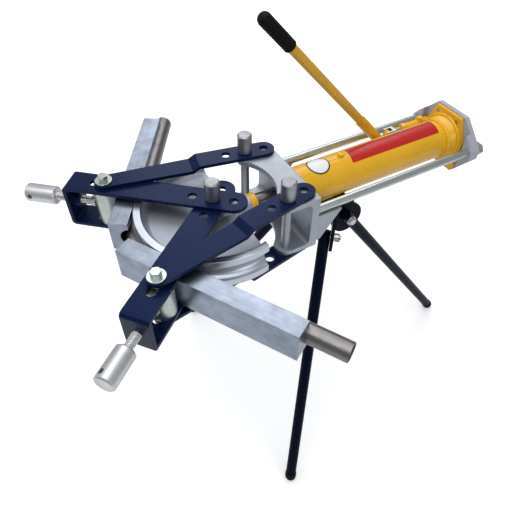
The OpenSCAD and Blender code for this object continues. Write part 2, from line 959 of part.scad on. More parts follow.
module pump_barrel() {
    color("gold") pump_frame() difference() {
        union() {
            rod_y(pump_d, pump_front, barrel_end);
            translate([0, valve_y, 0]) post(pump_d - 4, 0, pump_d / 2 + 1);
        }
        rod_y(plunger_d + 2 * pin_gap, pump_front - cut, valve_y - valve_d);
        translate([0, valve_y, 0]) post(valve_d + 2 * pin_gap, -2, pump_d / 2 + 1 + cut);
    }
}

module pump_gland_nut() {
    color("gold") pump_frame() difference() {
        translate([0, pump_front, 0]) rotate([90, 0, 0]) hexagon(24, 0, gland_nut_l);
        rod_y(plunger_d + 2 * pin_gap, pump_front - gland_nut_l - cut, pump_front + cut);
    }
}

module release_valve() {
    face = pump_d / 2 + 1 + slide_gap;
    color("gold") pump_frame() translate([0, valve_y, 0]) {
        post(valve_d, 0, face);
        hexagon(14, face, face + 6);
    }
}

module plunger() {
    travel = 2 * crank_r * sin(lever_swing / 2);
    color("silver") pump_frame() difference() {
        union() {
            rod_y(plunger_d, crank_y + fork_back, valve_y - valve_d - travel - 4);
            translate([-fork_half - fork_t, crank_y + fork_back, -fork_h / 2])
                cube([2 * (fork_half + fork_t), fork_wall, fork_h]);
            for (x = [-fork_half - fork_t, fork_half]) translate([x, crank_y - fork_front, -fork_h / 2])
                cube([fork_t, fork_front + fork_back + cut, fork_h]);
        }
        for (z = [-fork_slot, fork_slot]) translate([0, crank_y, z])
            rod_x(drive_pin_d + 2 * round_gap, -pump_d, pump_d);
        translate([-pump_d, crank_y - drive_pin_d / 2 - round_gap, -fork_slot])
            cube([2 * pump_d, drive_pin_d + 2 * round_gap, 2 * fork_slot]);
    }
}

module drive_pin() {
    color("dimgray") pump_frame() translate([0, crank_y, 0])
        rod_x(drive_pin_d, -fork_half - fork_t - 2, fork_half + fork_t + 2);
}

// Frame at the lever pivot: z runs up along the handle
module handle_frame() {
    axis_frame() translate([-pump_x, pivot_y, pivot_z]) rotate([handle_lean, 0, 0])
        translate([0, -handle_off, 0]) children();
}

module pump_lever() {
    color("goldenrod") difference() {
        union() {
            axis_frame() translate([-pump_x, pivot_y, pivot_z]) {
                rod_x(24, -lever_half, lever_half);
                rotate([lever_swing / 2, 0, 0]) {
                    translate([0, 0, crank_r]) rod_x(18, -lever_half, lever_half);
                    translate([-lever_web, -6, 0]) cube([2 * lever_web, 12, crank_r]);
                }
            }
            handle_frame() {
                translate([-lever_web, -11, 0]) cube([2 * lever_web, 22, socket_from + 3]);
                post(handle_d + 2 * socket_wall, socket_from, socket_from + socket_l);
            }
        }
        axis_frame() translate([-pump_x, pivot_y, pivot_z])
            rod_x(lever_pin_d + 2 * pin_gap, -lever_half - cut, lever_half + cut);
        pump_frame() translate([0, crank_y, 0]) rod_x(drive_pin_d, -lever_half - cut, lever_half + cut);
        handle_frame() post(handle_d, socket_from + socket_end, socket_from + socket_l + cut);
    }
}

module handle_tube() {
    color("goldenrod") handle_frame() difference() {
        post(handle_d, socket_from + socket_end, handle_l - grip_end);
        post(handle_d - 5, socket_from + socket_l, handle_l - grip_end + cut);
    }
}

module handle_grip() {
    color("black") handle_frame() difference() {
        union() {
            post(grip_d - 2, handle_l - grip_l, handle_l);
            for (i = [0 : 9]) translate([0, 0, handle_l - grip_l + 3 + i * (grip_l - 8) / 10])
                cylinder(d = grip_d, h = 6);
        }
        post(handle_d, handle_l - grip_l - cut, handle_l - grip_end);
    }
}

module ram() {
    back = barrel_end - piston_back;
    color("silver") {
        centre_frame() rod_y(nose_d, former_boss - nose_l, former_boss + cut);
        axis_frame() {
            rod_y(ram_d, former_boss - ram_reach, back - piston_l);
            rod_y(ram_d - 18, back - piston_l - cut, back);
        }
    }
}

module piston() {
    back = barrel_end - piston_back;
    color("dimgray") axis_frame() difference() {
        rod_y(bore_d - 2 * pin_gap, back - piston_l, back);
        rod_y(ram_d - 18, back - piston_l - cut, back + cut);
        difference() {
            rod_y(bore_d + cut, back - piston_l / 2 - seal_w / 2, back - piston_l / 2 + seal_w / 2);
            rod_y(bore_d - 2 * seal_w, back - piston_l, back);
        }
    }
}

module piston_seal() {
    back = barrel_end - piston_back;
    color("black") axis_frame() difference() {
        rod_y(bore_d - 2 * pin_gap, back - piston_l / 2 - seal_w / 2, back - piston_l / 2 + seal_w / 2);
        rod_y(bore_d - 2 * seal_w, back - piston_l, back);
    }
}

module ram_collar() {
    color("orange") centre_frame() difference() {
        rod_y(collar_d, former_boss, former_boss + collar_w);
        rod_y(ram_d, former_boss - cut, former_boss + collar_w + cut);
    }
}

// Lug that carries a front leg, welded to the bracket's side
module front_lug() {
    translate(front_pivot) rotate([0, 0, -front_leg_turn])
        translate([-64, leg_side, -28]) cube([86, lug_t, 78]);
}

// One side plate of the leg bracket, with a round end
module bracket_side() {
    end_y = rear_pivot[1] + 11.6;
    end_z = rear_pivot[2] - 19.5;
    translate([bracket_x - lug_t, 0, 0]) {
        translate([0, end_y, end_z]) rod_x(2 * bracket_r, 0, lug_t);
        translate([0, yoke_back, -bracket_low]) cube([lug_t, end_y - yoke_back, bracket_low - bracket_top]);
        translate([0, end_y - bracket_r, end_z]) cube([lug_t, 2 * bracket_r - 30, -end_z - bracket_top]);
    }
}

module leg_bracket() {
    color("black") axis_frame() difference() {
        union() {
            for (s = [0, 1]) mirror([s, 0, 0]) {
                bracket_side();
                front_lug();
            }
            translate([cut - bracket_x, yoke_back, -bracket_low])
                cube([2 * (bracket_x - cut), lug_t, bracket_low - bracket_top]);
            translate([-saddle_w / 2, saddle_y, -bracket_top - saddle_t]) cube([saddle_w, saddle_l, saddle_t]);
        }
        for (s = [0, 1]) mirror([s, 0, 0]) translate(front_pivot) rotate([0, 0, -front_leg_turn])
            rod_y(leg_bolt_d, 0, 60);
        translate(rear_pivot) rod_x(leg_bolt_d, -30, 30);
        bracket_bolt_holes();
    }
}

// Leg tube with the cross hole of its pivot bolt
module leg(length) {
    difference() {
        post(leg_d, foot_collar - length, leg_top);
        post(leg_d - 2 * leg_wall, -length, leg_top - 3);
        rod_y(leg_bolt_d + 2 * pin_gap, -leg_d, leg_d);
    }
}

module near_front_leg() {
    color("black") near_leg_frame() leg(front_leg_l);
}

module far_front_leg() {
    color("black") far_leg_frame() leg(front_leg_l);
}

module rear_leg() {
    color("black") rear_leg_frame() leg(rear_leg_l);
}

// Foot plug: a round end below a collar, with a stem inside the tube
module foot(length) {
    translate([0, 0, -length]) rotate_extrude() {
        intersection() {
            circle(r = foot_r);
            translate([0, -foot_r]) square(foot_r);
        }
        square([foot_r, foot_collar]);
        square([leg_d / 2 - leg_wall, 3 * foot_collar]);
    }
}

module floor_block() {
    translate([-floor_half, -floor_half, -leg_top]) cube([2 * floor_half, 2 * floor_half, leg_top]);
}

module near_foot() {
    color("black") difference() {
        near_leg_frame() foot(front_leg_l);
        floor_block();
    }
}

module far_foot() {
    color("black") difference() {
        far_leg_frame() foot(front_leg_l);
        floor_block();
    }
}

module rear_foot() {
    color("black") difference() {
        rear_leg_frame() foot(rear_leg_l);
        floor_block();
    }
}

// Pivot bolt of one leg, with its washer, in the leg's own frame
module leg_bolt() {
    rod_y(leg_bolt_d, -leg_side - leg_washer_t, leg_side + lug_t + 1.5 * leg_nut_h);
    translate([0, -leg_side - leg_washer_t, 0]) {
        rod_y(leg_washer_d, 0, leg_washer_t);
        rotate([90, 0, 0]) hexagon(leg_bolt_flats, 0, leg_bolt_head);
    }
}

module leg_bolts() {
    color("silver") {
        near_leg_frame() leg_bolt();
        far_leg_frame() leg_bolt();
        rear_leg_frame() leg_bolt();
    }
}

// Wing nut behind a lug
module leg_wing_nut() {
    face = leg_side + lug_t;
    difference() {
        union() {
            rod_y(leg_nut_d, face, face + leg_nut_h);
            for (x = [leg_nut_reach - leg_nut_wing, -leg_nut_reach])
                translate([x, face + leg_nut_h / 3, -leg_nut_h / 4]) cube([leg_nut_wing, leg_nut_d / 2, leg_nut_h / 2]);
        }
        rod_y(leg_bolt_d, face - cut, face + 2 * leg_nut_h);
    }
}

module leg_wing_nuts() {
    color("dimgray") {
        near_leg_frame() leg_wing_nut();
        far_leg_frame() leg_wing_nut();
        rear_leg_frame() leg_wing_nut();
    }
}

yoke();
cylinder_barrel();
gland_bush();
rear_flange();
flange_bolts();
rear_casting();
tie_rods();
tie_rod_nuts();
pump_barrel();
pump_gland_nut();
lever_pin();
filler_plug();
leg_bracket();
bracket_bolts();
ram();
piston();
piston_seal();
ram_collar();
former();
bent_tube();
centre_pin();
near_yoke_pin();
far_yoke_pin();
near_strap();
far_strap();
near_roller();
far_roller();
near_wing_bolt();
far_wing_bolt();
near_wing_nut();
far_wing_nut();
near_washers();
far_washers();
near_spacers();
near_top_link();
near_bottom_link();
far_top_link();
far_bottom_link();
near_bar();
far_bar();
near_pad();
far_pad();
near_screw();
far_screw();
near_knob();
far_knob();
pump_lever();
drive_pin();
plunger();
handle_tube();
handle_grip();
release_valve();
near_front_leg();
far_front_leg();
rear_leg();
near_foot();
far_foot();
rear_foot();
leg_bolts();
leg_wing_nuts();
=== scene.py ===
"""Looks of a hydraulic pipe bender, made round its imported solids."""

import json
import math

import bpy
import numpy as np
from bpy.props import FloatProperty, FloatVectorProperty, IntProperty, PointerProperty
from bpy.types import Operator, Panel, PropertyGroup
from mathutils import Matrix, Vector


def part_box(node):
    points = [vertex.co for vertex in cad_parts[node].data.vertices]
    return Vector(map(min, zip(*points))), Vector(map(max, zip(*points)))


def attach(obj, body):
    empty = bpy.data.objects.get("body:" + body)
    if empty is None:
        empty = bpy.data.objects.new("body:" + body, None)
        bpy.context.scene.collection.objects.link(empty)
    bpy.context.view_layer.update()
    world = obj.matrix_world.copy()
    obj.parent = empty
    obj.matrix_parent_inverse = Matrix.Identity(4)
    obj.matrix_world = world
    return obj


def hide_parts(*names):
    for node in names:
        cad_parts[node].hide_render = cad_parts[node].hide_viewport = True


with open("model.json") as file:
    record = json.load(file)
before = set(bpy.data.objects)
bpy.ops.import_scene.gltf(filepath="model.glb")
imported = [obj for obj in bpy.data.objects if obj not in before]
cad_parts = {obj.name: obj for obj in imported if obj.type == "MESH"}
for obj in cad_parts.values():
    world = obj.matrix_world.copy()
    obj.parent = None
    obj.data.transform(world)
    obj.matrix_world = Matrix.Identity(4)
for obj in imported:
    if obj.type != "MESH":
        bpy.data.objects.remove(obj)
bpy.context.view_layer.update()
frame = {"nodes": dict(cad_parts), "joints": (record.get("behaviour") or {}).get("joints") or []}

NODES = frame["nodes"]
JOINTS = {joint["name"]: joint for joint in frame["joints"]}

bl_info = {
    "name": "Pipe bender looks",
    "version": (1, 0, 0),
    "blender": (4, 5, 0),
    "location": "View3D > Sidebar > Pipe bender",
    "description": "Finishes, small surfaces and the stage of a hydraulic pipe bender",
    "category": "Object",
}

# Places that the solids give, in metres as are all lengths here
CENTRE = np.array(JOINTS["near_wing_swing"]["pos_m"])
LEVER = np.array(JOINTS["lever_swing"]["pos_m"])
AXIS_H = float(CENTRE[2])
BARREL_R = 0.049
FLANGE_T = 0.009
BARREL_END = float(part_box("rear_flange")[1].y) - FLANGE_T

# Points in each ring of a turned piece
RING = 48

# Weld beads round the cylinder: station and radius of each, and the length of one pass of the rod
WELDS = {
    "flange_weld": (BARREL_END - 0.001, BARREL_R + 0.009),
    "band_weld": (BARREL_END - 0.025, BARREL_R + 0.001),
}
WELD_PASS = 0.007

# Films on the cylinder: gap below them, the band's ends, its edges in degrees from the top line and its slant
FILM_GAP = 0.00005
BAND_ENDS = (0.226, 0.49)
BAND_EDGES = (-20, 34)
BAND_SLANT = 0.006
# Station of the disc, its angle from the top line, its radius, its rim's radius and the hole where its rings start
LABEL_AT = 0.138
LABEL_ANGLE = math.radians(3)
LABEL_DISC_R = 0.0245
LABEL_RIM_R = 0.028
LABEL_START_R = 0.0002

# Radii round the centre pin where the former's casting turns into its bright rim, and radii that nothing reaches
TURNED_RIM = (0.150, 0.156)
UNTURNED = (5.0, 6.0)

# Adjuster screws: radius, stations in each pitch, then the spigot in the pad and the pad's half thickness and gap
SCREW_R = 0.01
PITCH_STEPS = 12
SPIGOT_R = 0.005
SPIGOT_START_R = 0.0005
SPIGOT_L = 0.0064
SPIGOT_STEP = 0.0001
PAD_HALF = 0.005
PAD_GAP = 0.0004

# Grip: radius between ribs, height of a rib, stations in a rib, the rolled cuff (station, radius) and the domed end
GRIP_R = 0.0133
RIB_H = 0.0011
RIB_STEPS = 12
CUFF = np.array([(0, 0.0111), (0, 0.0138), (0.001, 0.0145), (0.003, 0.0145)])
CUFF_L = 0.004
DOME_R = 0.0134
DOME_L = 0.01
DOME_TIP_R = 0.0003

# Floor: half width, lines each way, size of its clouds, and the distances and strengths of its lift toward white
FLOOR_HALF = 14
FLOOR_LINES = 9
FLOOR_CLOUD = 5 / 3
FLOOR_FADE = (0.8, 3.2)
FLOOR_LIFT = (0.3, 0.9)
# Strength of the sky as a light, and as the camera sees it
SKY = (0.42, 0.96)
# Soft boxes: width, power in watts, place and aim
BOXES = {
    "overhead_box": (3.0, 56, (0.3, -0.5, 3.4), (0, 0.1, 0.7)),
    "far_box": (2.4, 32, (-1.9, 1.1, 3.0), (0, 0, 0.75)),
    "front_box": (1.6, 13, (-1.4, -2.4, 2.0), (0, 0, 0.7)),
    "side_box": (1.2, 10, (2.6, 0.6, 1.9), (0, 0.2, 0.6)),
}
# Camera: heading, tilt and roll in degrees, lens and sensor in millimetres, and its place
CAMERA_TURNS = (60.74, 46.64, 0.47)
LENS, SENSOR = 35.705, 36.0
CAMERA_AT = (0.7634, -0.4491, AXIS_H + 0.7491)


def linear(code):
    """An sRGB hex colour as linear red, green, blue and alpha."""
    srgb = np.array([int(code[i:i + 2], 16) for i in (1, 3, 5)]) / 255
    rgb = np.where(srgb <= 0.04045, srgb / 12.92, ((srgb + 0.055) / 1.055) ** 2.4)
    return (*rgb.tolist(), 1.0)


def colour(code, name, description):
    """A colour property whose default is an sRGB hex value."""
    return FloatVectorProperty(
        name=name, description=description, subtype="COLOR", size=4, min=0, max=1, default=linear(code)
    )


class BenderColours(PropertyGroup):
    """Colours of the machine's finishes."""

    yellow: colour("#E6AE12", "Yellow", "Gloss enamel on the cylinder and pump")
    amber: colour("#D6A01C", "Amber", "The handle's older enamel")
    navy: colour("#0A1636", "Navy", "Enamel on the straps and links")
    cast: colour("#BAC0CA", "Cast aluminium", "The yoke and the former")
    milled: colour("#959EAD", "Milled aluminium", "The two bars")
    zinc: colour("#C6CDC8", "Zinc plate", "Bolts, washers, rods and rollers")
    steel: colour("#A7A9AE", "Turned steel", "The centre pin and the yoke pins")
    tube: colour("#807D7E", "Drawn tube", "The tube in the machine")
    grey: colour("#A7A9B4", "Grey paint", "The rear casting")
    black: colour("#0B1020", "Black paint", "The legs and their bracket")
    rubber: colour("#060607", "Black rubber", "The grip, the feet and the piston's seal")
    red: colour("#B3150F", "Red film", "The plain band on the cylinder")
    pale: colour("#E3E5E6", "Pale film", "The plain disc on the cylinder")


class BenderSizes(PropertyGroup):
    """Sizes of the pieces that are added to the solids."""

    thread_pitch: FloatProperty(
        name="Thread pitch", description="Drawn pitch of the adjuster screws", default=0.005, unit="LENGTH"
    )
    thread_depth: FloatProperty(
        name="Thread depth", description="Depth of those threads", default=0.0018, unit="LENGTH"
    )
    grip_ribs: IntProperty(name="Grip ribs", description="Rings moulded round the grip", default=16, min=4)
    grip_length: FloatProperty(
        name="Grip length", description="Length of the grip along the handle", default=0.1, unit="LENGTH"
    )
    handle_length: FloatProperty(
        name="Handle length", description="Lever pivot to the tip of the grip", default=0.562, unit="LENGTH"
    )
    handle_lean: FloatProperty(
        name="Handle lean", description="Forward lean of the handle at rest", default=math.radians(43.2),
        unit="ROTATION",
    )
    handle_offset: FloatProperty(
        name="Handle offset", description="Handle's axis ahead of the lever pivot", default=0.009, unit="LENGTH"
    )
    bead: FloatProperty(name="Weld bead", description="Radius of the weld beads", default=0.0042, unit="LENGTH")
    film: FloatProperty(
        name="Film", description="Thickness of the film on the cylinder", default=0.0003, unit="LENGTH"
    )


def add(tree, kind, links=None, **settings):
    """One node with its settings. links gives inputs, by name or number, a value or a socket."""
    node = tree.nodes.new(kind)
    for key, value in settings.items():
        setattr(node, key, value)
    for key, value in (links or {}).items():
        if isinstance(value, bpy.types.NodeSocket):
            tree.links.new(value, node.inputs[key])
        else:
            node.inputs[key].default_value = value
    return node


def start(name):
    """A new material, its empty tree, and the piece's own coordinates in metres."""
    material = bpy.data.materials.new(name)
    material.use_nodes = True
    tree = material.node_tree
    tree.nodes.clear()
    return material, tree, add(tree, "ShaderNodeTexCoord").outputs["Object"]


def end(tree, **inputs):
    """Closes a tree with one Principled shader, its inputs named with underscores."""
    shader = add(tree, "ShaderNodeBsdfPrincipled", {key.replace("_", " "): v for key, v in inputs.items()})
    add(tree, "ShaderNodeOutputMaterial", {"Surface": shader.outputs["BSDF"]})


def tint(rgba, factor):
    """A colour with its brightness multiplied."""
    return (*(min(1.0, c * factor) for c in rgba[:3]), 1.0)


def noise(tree, place, cell, **inputs):
    """Noise whose cells have about the given size."""
    return add(tree, "ShaderNodeTexNoise", {"Vector": place, "Scale": 1 / cell, **inputs}).outputs["Fac"]


def ramp(tree, value, low=0.0, high=1.0, first=0.0, last=1.0):
    """A value that runs evenly from first to last between low and high, and holds outside them."""
    return add(
        tree, "ShaderNodeMapRange",
        {"Value": value, "From Min": low, "From Max": high, "To Min": first, "To Max": last},
    ).outputs["Result"]


def blend(tree, factor, first, second):
    """Two colours mixed by a factor."""
    return add(tree, "ShaderNodeMix", {0: factor, 6: first, 7: second}, data_type="RGBA").outputs[2]


def rounded(tree, radius):
    """Normals that look rounded at the edges."""
    return add(tree, "ShaderNodeBevel", {"Radius": radius}, samples=4).outputs["Normal"]


def edge_highlight_and_wear(tree, soft, most):
    """A mask of the edges, up to the given most, from the turn between rounded and flat normals; it sets where edges
    are painted lighter, partly as a painted highlight and partly as wear.
    """
    face = add(tree, "ShaderNodeNewGeometry").outputs["Normal"]
    turn = add(tree, "ShaderNodeVectorMath", {0: soft, 1: face}, operation="DOT_PRODUCT")
    return ramp(tree, turn.outputs["Value"], 0.97, 0.8, 0.0, most)


def bumped(tree, height, strength, distance, **inputs):
    """Normals that follow a height."""
    return add(
        tree, "ShaderNodeBump", {"Height": height, "Strength": strength, "Distance": distance, **inputs}
    ).outputs["Normal"]


def enamel(name, rgba, rough, edge, peel=0.0022, coat=0.0, shine=0.5, glint=(1, 1, 1, 1)):
    """Sprayed enamel: slow shifts of tone, orange peel of about 2 mm, edges painted lighter as a painted highlight
    broken up like wear, a tinted gloss.
    """
    material, tree, place = start(name)
    dust = noise(tree, place, 0.006, Detail=4.0)
    base = blend(tree, noise(tree, place, 0.09, Detail=3.0), tint(rgba, 0.86), tint(rgba, 1.12))
    soft = rounded(tree, 0.0013)
    # Edges painted in a paler tint of the paint: a painted highlight along the rounded edges, broken up by the dust
    # noise like wear
    highlit_and_worn = add(tree, "ShaderNodeMath", {0: edge_highlight_and_wear(tree, soft, 0.75), 1: dust}, operation="MULTIPLY")
    skin = noise(tree, place, peel, Detail=1.0)
    end(
        tree, Base_Color=blend(tree, highlit_and_worn.outputs["Value"], base, edge),
        Roughness=ramp(tree, dust, 0.3, 0.7, rough - 0.05, rough + 0.09),
        Normal=bumped(tree, skin, 0.12, 0.0004, Normal=soft),
        Coat_Weight=coat, Coat_Roughness=0.12, Specular_IOR_Level=shine, Specular_Tint=glint,
    )
    return material


def bare_metal(name, rgba, rough, cell, turn=(0, 0, 0), relief=0.0002, spread=0.22):
    """Bare metal marked by its tool: tone, gloss and relief follow lines whose cell is given in metres, and its edges
    are painted brighter as a painted highlight and wear.
    """
    material, tree, place = start(name)
    laid = add(
        tree, "ShaderNodeMapping", {"Vector": place, "Rotation": turn, "Scale": cell}, vector_type="TEXTURE"
    )
    lines = noise(tree, laid.outputs["Vector"], 1.0, Detail=3.0)
    stain = noise(tree, place, 0.035, Detail=5.0, Roughness=0.6)
    both = add(tree, "ShaderNodeMath", {0: lines, 1: 0.55, 2: stain}, operation="MULTIPLY_ADD").outputs["Value"]
    base = blend(tree, ramp(tree, both, 0.45, 1.1), tint(rgba, 1 - spread), tint(rgba, 1 + spread))
    soft = rounded(tree, 0.0012)
    # Edges painted brighter than the metal: a painted highlight along the rounded edges, partly standing for wear
    end(
        tree, Base_Color=blend(tree, edge_highlight_and_wear(tree, soft, 0.8), base, tint(rgba, 1.25)), Metallic=1.0,
        Roughness=ramp(tree, both, 0.4, 1.1, rough + 0.1, rough - 0.06),
        Normal=bumped(tree, lines, 0.35, relief, Normal=soft),
    )
    return material


def turned_casting(name, rgba, inner, outer):
    """Sand-cast aluminium, grainy and dull, turned bright in fine rings from inner to outer round the centre pin."""
    material, tree, place = start(name)
    moved = add(tree, "ShaderNodeMapping", {"Vector": place, "Location": tuple(CENTRE)}, vector_type="TEXTURE")
    flat = add(tree, "ShaderNodeVectorMath", {0: moved.outputs["Vector"], 1: (1, 1, 0)}, operation="MULTIPLY")
    away = add(tree, "ShaderNodeVectorMath", {0: flat.outputs["Vector"]}, operation="LENGTH").outputs["Value"]
    cut = ramp(tree, away, inner, outer)
    ring = add(tree, "ShaderNodeTexNoise", {"W": away, "Scale": 1 / 0.0018}, noise_dimensions="1D").outputs["Fac"]
    grain = noise(tree, place, 0.0032, Detail=4.0)
    stain = noise(tree, place, 0.045, Detail=5.0, Roughness=0.65)
    relief = add(tree, "ShaderNodeMix", {0: cut, 2: grain, 3: ring}).outputs[0]
    dull = blend(tree, stain, tint(rgba, 0.62), tint(rgba, 1.06))
    bright = blend(tree, ring, tint(rgba, 0.95), tint(rgba, 1.3))
    end(
        tree, Base_Color=blend(tree, cut, dull, bright), Metallic=0.95,
        Roughness=ramp(tree, cut, first=0.52, last=0.3),
        Normal=bumped(tree, relief, 0.4, 0.0005, Normal=rounded(tree, 0.002)),
    )
    return material


def moulded_rubber(name, rgba):
    """Moulded black rubber: matt, a fine grain, paler where hands and floors rub it."""
    material, tree, place = start(name)
    grain = noise(tree, place, 0.0012, Detail=2.0)
    rub = noise(tree, place, 0.02, Detail=4.0)
    end(
        tree, Base_Color=blend(tree, rub, tint(rgba, 0.8), tint(rgba, 1.5)),
        Roughness=ramp(tree, rub, first=0.62, last=0.42), Normal=bumped(tree, grain, 0.3, 0.0003),
        Specular_IOR_Level=0.14,
    )
    return material


def vinyl_film(name, rgba):
    """Thin vinyl film: even colour, faint scuffs, a smooth half gloss."""
    material, tree, place = start(name)
    scuff = noise(tree, place, 0.012, Detail=6.0, Roughness=0.7)
    end(
        tree, Base_Color=blend(tree, scuff, tint(rgba, 0.9), tint(rgba, 1.1)),
        Roughness=ramp(tree, scuff, first=0.22, last=0.42),
    )
    return material


def finish(material, *names):
    """Gives CAD nodes one material."""
    for name in names:
        mesh = NODES[name].data
        mesh.materials.clear()
        mesh.materials.append(material)


def basis(direction):
    """A direction's unit vector, and two more that are square to it and to each other."""
    along = np.asarray(direction, float) / np.linalg.norm(direction)
    side = np.cross(along, (0, 0, 1) if abs(along[2]) < 0.9 else (1, 0, 0))
    side /= np.linalg.norm(side)
    return along, side, np.cross(along, side)


def grid_piece(name, points, material, body, smooth=True):
    """A closed mesh from a rows by columns grid of points: each row is closed to a ring, and both ends are capped.

    The signed volume, a sixth of the sum of a . ((b - a) x (c - a)), tells whether its faces point inward.
    """
    rows, cols = points.shape[:2]
    index = np.arange(rows * cols).reshape(rows, cols)
    index = np.concatenate([index, index[:, :1]], axis=1)
    quads = np.stack([index[:-1, :-1], index[:-1, 1:], index[1:, 1:], index[1:, :-1]], axis=-1).reshape(-1, 4)
    faces = quads.tolist()
    faces += [np.arange(cols)[::-1].tolist(), (np.arange(cols) + (rows - 1) * cols).tolist()]
    flat = points.reshape(-1, 3)
    near = flat - flat.mean(axis=0)
    a, b, c, d = (near[quads[:, i]] for i in range(4))
    inside = np.sum(np.cross(b - a, c - a) * a) + np.sum(np.cross(c - a, d - a) * a) < 0
    mesh = bpy.data.meshes.new(name)
    mesh.from_pydata(flat.tolist(), [], [face[::-1] for face in faces] if inside else faces)
    mesh.validate()
    mesh.polygons.foreach_set("use_smooth", np.full(len(mesh.polygons), smooth))
    mesh.materials.append(material)
    piece = bpy.data.objects.new(name, mesh)
    bpy.context.scene.collection.objects.link(piece)
    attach(piece, body)
    return piece


def turned_points(origin, direction, stations, radii):
    """A profile carried round an axis: each station's ring has that station's radius at every angle."""
    along, side, up = basis(direction)
    angle = np.linspace(0, 2 * np.pi, RING, endpoint=False)
    ring = np.cos(angle)[:, None] * side + np.sin(angle)[:, None] * up
    stations, radii = np.asarray(stations, float), np.asarray(radii, float)
    radii = radii[:, None] if radii.ndim == 1 else radii
    return origin + stations[:, None, None] * along + radii[..., None] * ring[None]


def thread_radii(stations, radius, pitch, depth):
    """Radius of a screw thread: a rounded ridge that climbs one pitch in each turn."""
    angle = np.linspace(0, 1, RING, endpoint=False)
    phase = np.asarray(stations)[:, None] / pitch - angle[None]
    ridge = np.abs(2 * (phase - np.floor(phase)) - 1)
    return radius - depth * np.clip(1.25 * ridge - 0.12, 0, 1)


def bead_points(path, radius, ripple, count=10):
    """A weld bead: a round section carried along a path, swelling and sinking with each pass of the rod."""
    path = np.asarray(path, float)
    ahead = np.gradient(path, axis=0)
    ahead /= np.linalg.norm(ahead, axis=1, keepdims=True)
    reference = np.where(np.abs(ahead[:, 2:3]) < 0.9, [[0.0, 0.0, 1.0]], [[1.0, 0.0, 0.0]])
    side = np.cross(ahead, reference)
    side /= np.linalg.norm(side, axis=1, keepdims=True)
    up = np.cross(ahead, side)
    run = np.concatenate([[0], np.cumsum(np.linalg.norm(np.diff(path, axis=0), axis=1))])
    size = radius * (1 + 0.12 * np.sin(2 * np.pi * run / ripple))
    size[[0, -1]] *= 0.35
    angle = np.linspace(0, 2 * np.pi, count, endpoint=False)
    ring = np.cos(angle)[None, :, None] * side[:, None] + np.sin(angle)[None, :, None] * up[:, None]
    return path[:, None] + size[:, None, None] * ring


def wrapped(radius, stations, angles):
    """Points round the ram axis: stations along it, and angles from the top line at one radius."""
    return np.stack([radius * np.sin(angles), stations, AXIS_H + radius * np.cos(angles)], axis=-1)


class BENDER_OT_hydraulics(Operator):
    """Enamel on the cylinder, pump and handle, with weld beads and plain films"""

    bl_idname = "bender.hydraulics"
    bl_label = "Hydraulics"

    def execute(self, context):
        tones, sizes = context.scene.bender_colours, context.scene.bender_sizes
        # Gloss alkyd enamel, sprayed on steel: warm yellow with a soft highlight, and edges painted paler yellow as a
        # painted highlight and wear
        yellow = enamel("yellow_enamel", tones.yellow, 0.26, linear("#F6C64A"), coat=0.25)
        finish(
            yellow, "cylinder_barrel", "rear_flange", "filler_plug", "ram_collar", "pump_barrel", "pump_gland_nut",
            "release_valve",
        )
        # The same enamel, older and duller, on the lever, its edges painted paler as a painted highlight and wear
        amber = enamel("amber_enamel", tones.amber, 0.32, linear("#E6B24A"), coat=0.15)
        finish(amber, "pump_lever", "handle_tube")
        # Bronze bush, turned: warm and fairly bright
        finish(bare_metal("machined_bronze", linear("#B08A3C"), 0.3, (0.02, 0.0015, 0.02)), "gland_bush")
        finish(moulded_rubber("seal_rubber", tones.rubber), "piston_seal")
        turn = np.linspace(0, 2 * np.pi, 181)
        for name, (station, radius) in WELDS.items():
            path = wrapped(radius, np.full_like(turn, station), turn)
            grid_piece(name, bead_points(path, sizes.bead, WELD_PASS), yellow, "frame")
        self.films(tones, sizes.film)
        return {"FINISHED"}

    def films(self, tones, thickness):
        """Plain films where the cylinder is marked: one red band, one pale disc with a dark rim."""
        faces = (FILM_GAP, FILM_GAP + thickness)
        first, last = BAND_EDGES
        y, a = np.meshgrid(np.linspace(*BAND_ENDS, 40), np.radians(np.linspace(first, last, 25)), indexing="ij")
        slant = (np.degrees(a) - first) / (last - first) * BAND_SLANT
        lower, upper = (wrapped(BARREL_R + lift, y - slant, a) for lift in faces)
        band = np.concatenate([lower, upper[:, ::-1]], axis=1)
        grid_piece("red_band", band, vinyl_film("red_vinyl_film", tones.red), "frame", smooth=False)
        for name, radius, tone, step in (
            ("label_rim", LABEL_RIM_R, linear("#23262B"), 0.0),
            ("label_disc", LABEL_DISC_R, tones.pale, thickness + FILM_GAP),
        ):
            ring, angle = np.meshgrid(
                np.linspace(LABEL_START_R, radius, 10), np.linspace(0, 2 * np.pi, RING, endpoint=False), indexing="ij"
            )
            y, a = LABEL_AT + ring * np.sin(angle), LABEL_ANGLE + ring * np.cos(angle) / BARREL_R
            lower, upper = (wrapped(BARREL_R + step + lift, y, a) for lift in faces)
            rows = np.concatenate([lower, upper[::-1]], axis=0)
            grid_piece(name, rows, vinyl_film(name + "_film", tone), "frame", smooth=False)


class BENDER_OT_castings(Operator):
    """Cast aluminium yoke and former, painted rear casting"""

    bl_idname = "bender.castings"
    bl_label = "Castings"

    def execute(self, context):
        tones = context.scene.bender_colours
        # Sand-cast aluminium: pale grey, sandy and dull where it isn't machined
        finish(turned_casting("sand_cast_aluminium", tones.cast, *UNTURNED), "yoke")
        # The same metal with its rim and groove turned on a lathe
        finish(turned_casting("turned_former_aluminium", tones.cast, *TURNED_RIM), "former")
        # Grey paint on a rough casting: half matt, with a coarse skin, its edges painted paler as a painted highlight
        # and wear
        finish(enamel("grey_casting_paint", tones.grey, 0.42, linear("#B9BDC4"), peel=0.003), "rear_casting")
        return {"FINISHED"}


